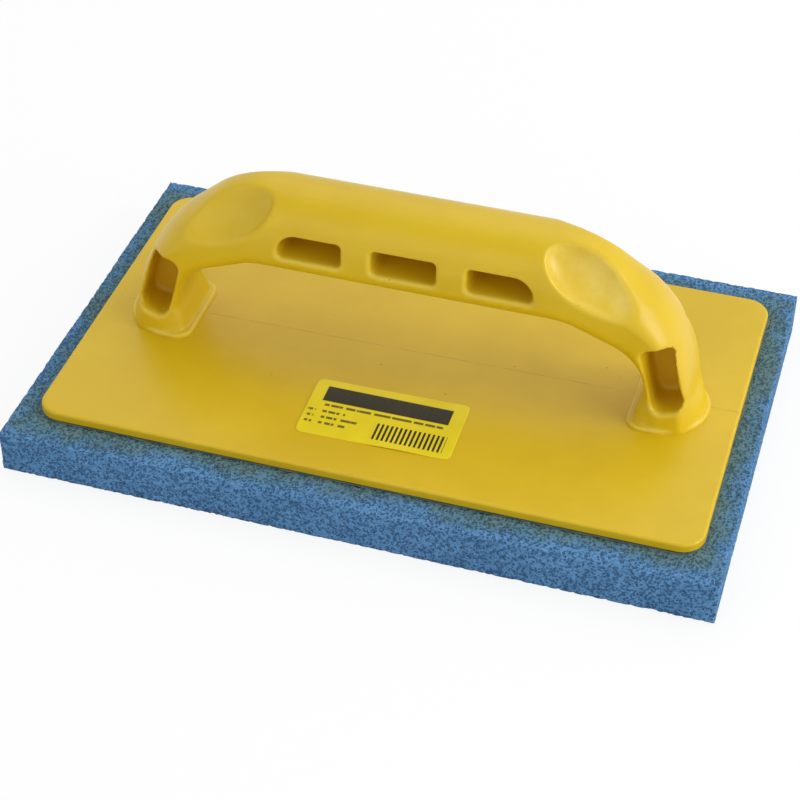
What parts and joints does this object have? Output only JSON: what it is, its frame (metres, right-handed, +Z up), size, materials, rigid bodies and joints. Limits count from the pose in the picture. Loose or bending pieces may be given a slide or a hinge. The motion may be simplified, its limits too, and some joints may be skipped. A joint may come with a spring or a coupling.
{
  "type": "plastering float",
  "caption": "Hand float with a moulded plastic backing plate and bow handle in one piece, and a foam rubber working pad glued beneath.",
  "frame": {"origin": "middle of the pad's working face", "axes": "+X along the handle and the long side, +Y across, +Z up from the working face to the handle"},
  "size_m": [0.21, 0.135, 0.0715],
  "materials": {
    "foam_rubber": "open-cell foam rubber, matt",
    "adhesive": "set contact adhesive, satin",
    "yellow_plastic": "moulded, semi-gloss",
    "label_film": "coated paper label"
  },
  "bodies": {
    "root": {"foam_pad": "foam_rubber", "adhesive_film": "adhesive", "body_moulding": "yellow_plastic", "label": "label_film"}
  },
  "joints": []
}
